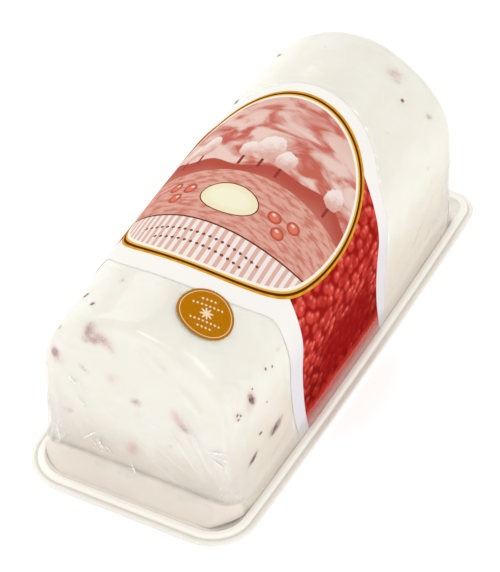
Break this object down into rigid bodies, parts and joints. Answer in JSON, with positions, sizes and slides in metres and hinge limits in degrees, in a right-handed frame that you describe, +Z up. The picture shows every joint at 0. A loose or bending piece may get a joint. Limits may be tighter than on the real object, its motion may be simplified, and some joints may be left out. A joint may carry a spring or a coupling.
{
  "type": "goat cheese",
  "caption": "Soft white cheese log with dried fruit, tunnel shaped, in a clear film wrap with a printed band and an oval sticker, lying on a shallow ivory tray with a beaded rim.",
  "frame": {"origin": "middle of the tray's flat underside, where the pack stands", "axes": "+Y along the log towards its far end, +X across it to the right, +Z up"},
  "size_m": [0.0898, 0.2002, 0.083],
  "materials": {
    "tray_plastic": "thin glossy ivory plastic",
    "cheese_in_film": "creamy white soft cheese with dark red fruit, under glossy crinkled clear film",
    "label_print": "glossy white label with a rose, red, gold and cream print",
    "sticker_print": "satin ochre sticker"
  },
  "bodies": {
    "root": {"tray": "tray_plastic", "wrapped_cheese": "cheese_in_film", "label_band": "label_print", "sticker": "sticker_print"}
  },
  "joints": []
}
